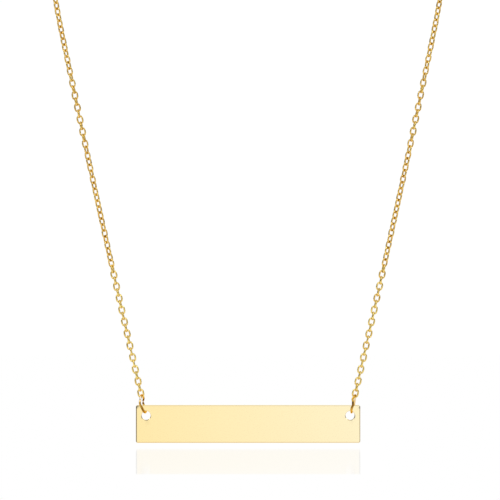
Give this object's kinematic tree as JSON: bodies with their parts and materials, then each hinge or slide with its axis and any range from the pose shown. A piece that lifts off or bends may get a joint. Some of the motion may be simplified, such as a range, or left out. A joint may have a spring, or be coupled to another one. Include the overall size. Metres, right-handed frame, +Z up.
{
  "type": "bar pendant",
  "caption": "Flat polished gold bar hung level by a jump ring at each end on a fine cable chain, as a whole necklace loop with a plain clasp at the nape.",
  "frame": {"origin": "middle of the clasp at the back of the loop, where the necklace hangs on the nape", "axes": "+Z up, the bar's face looks along -Y, +X to the right as seen from the front"},
  "size_m": [0.1024, 0.091, 0.1184],
  "materials": {
    "bar_gold": "polished",
    "ring_gold": "polished",
    "chain_gold": "gloss",
    "clasp_gold": "polished"
  },
  "bodies": {
    "necklace": {"ring_left": "ring_gold", "ring_right": "ring_gold", "chain_left_front": "chain_gold", "chain_right_front": "chain_gold", "chain_left_back": "chain_gold", "chain_right_back": "chain_gold", "clasp": "clasp_gold", "catch_ring": "ring_gold"},
    "bar": {"bar_plate": "bar_gold"}
  },
  "joints": [
    {"name": "bar_swing", "type": "hinge", "parent": "necklace", "child": "bar", "pos_m": [0, -0.088, -0.11015], "axis": [1, 0, 0], "range_deg": [-45, 45]}
  ]
}
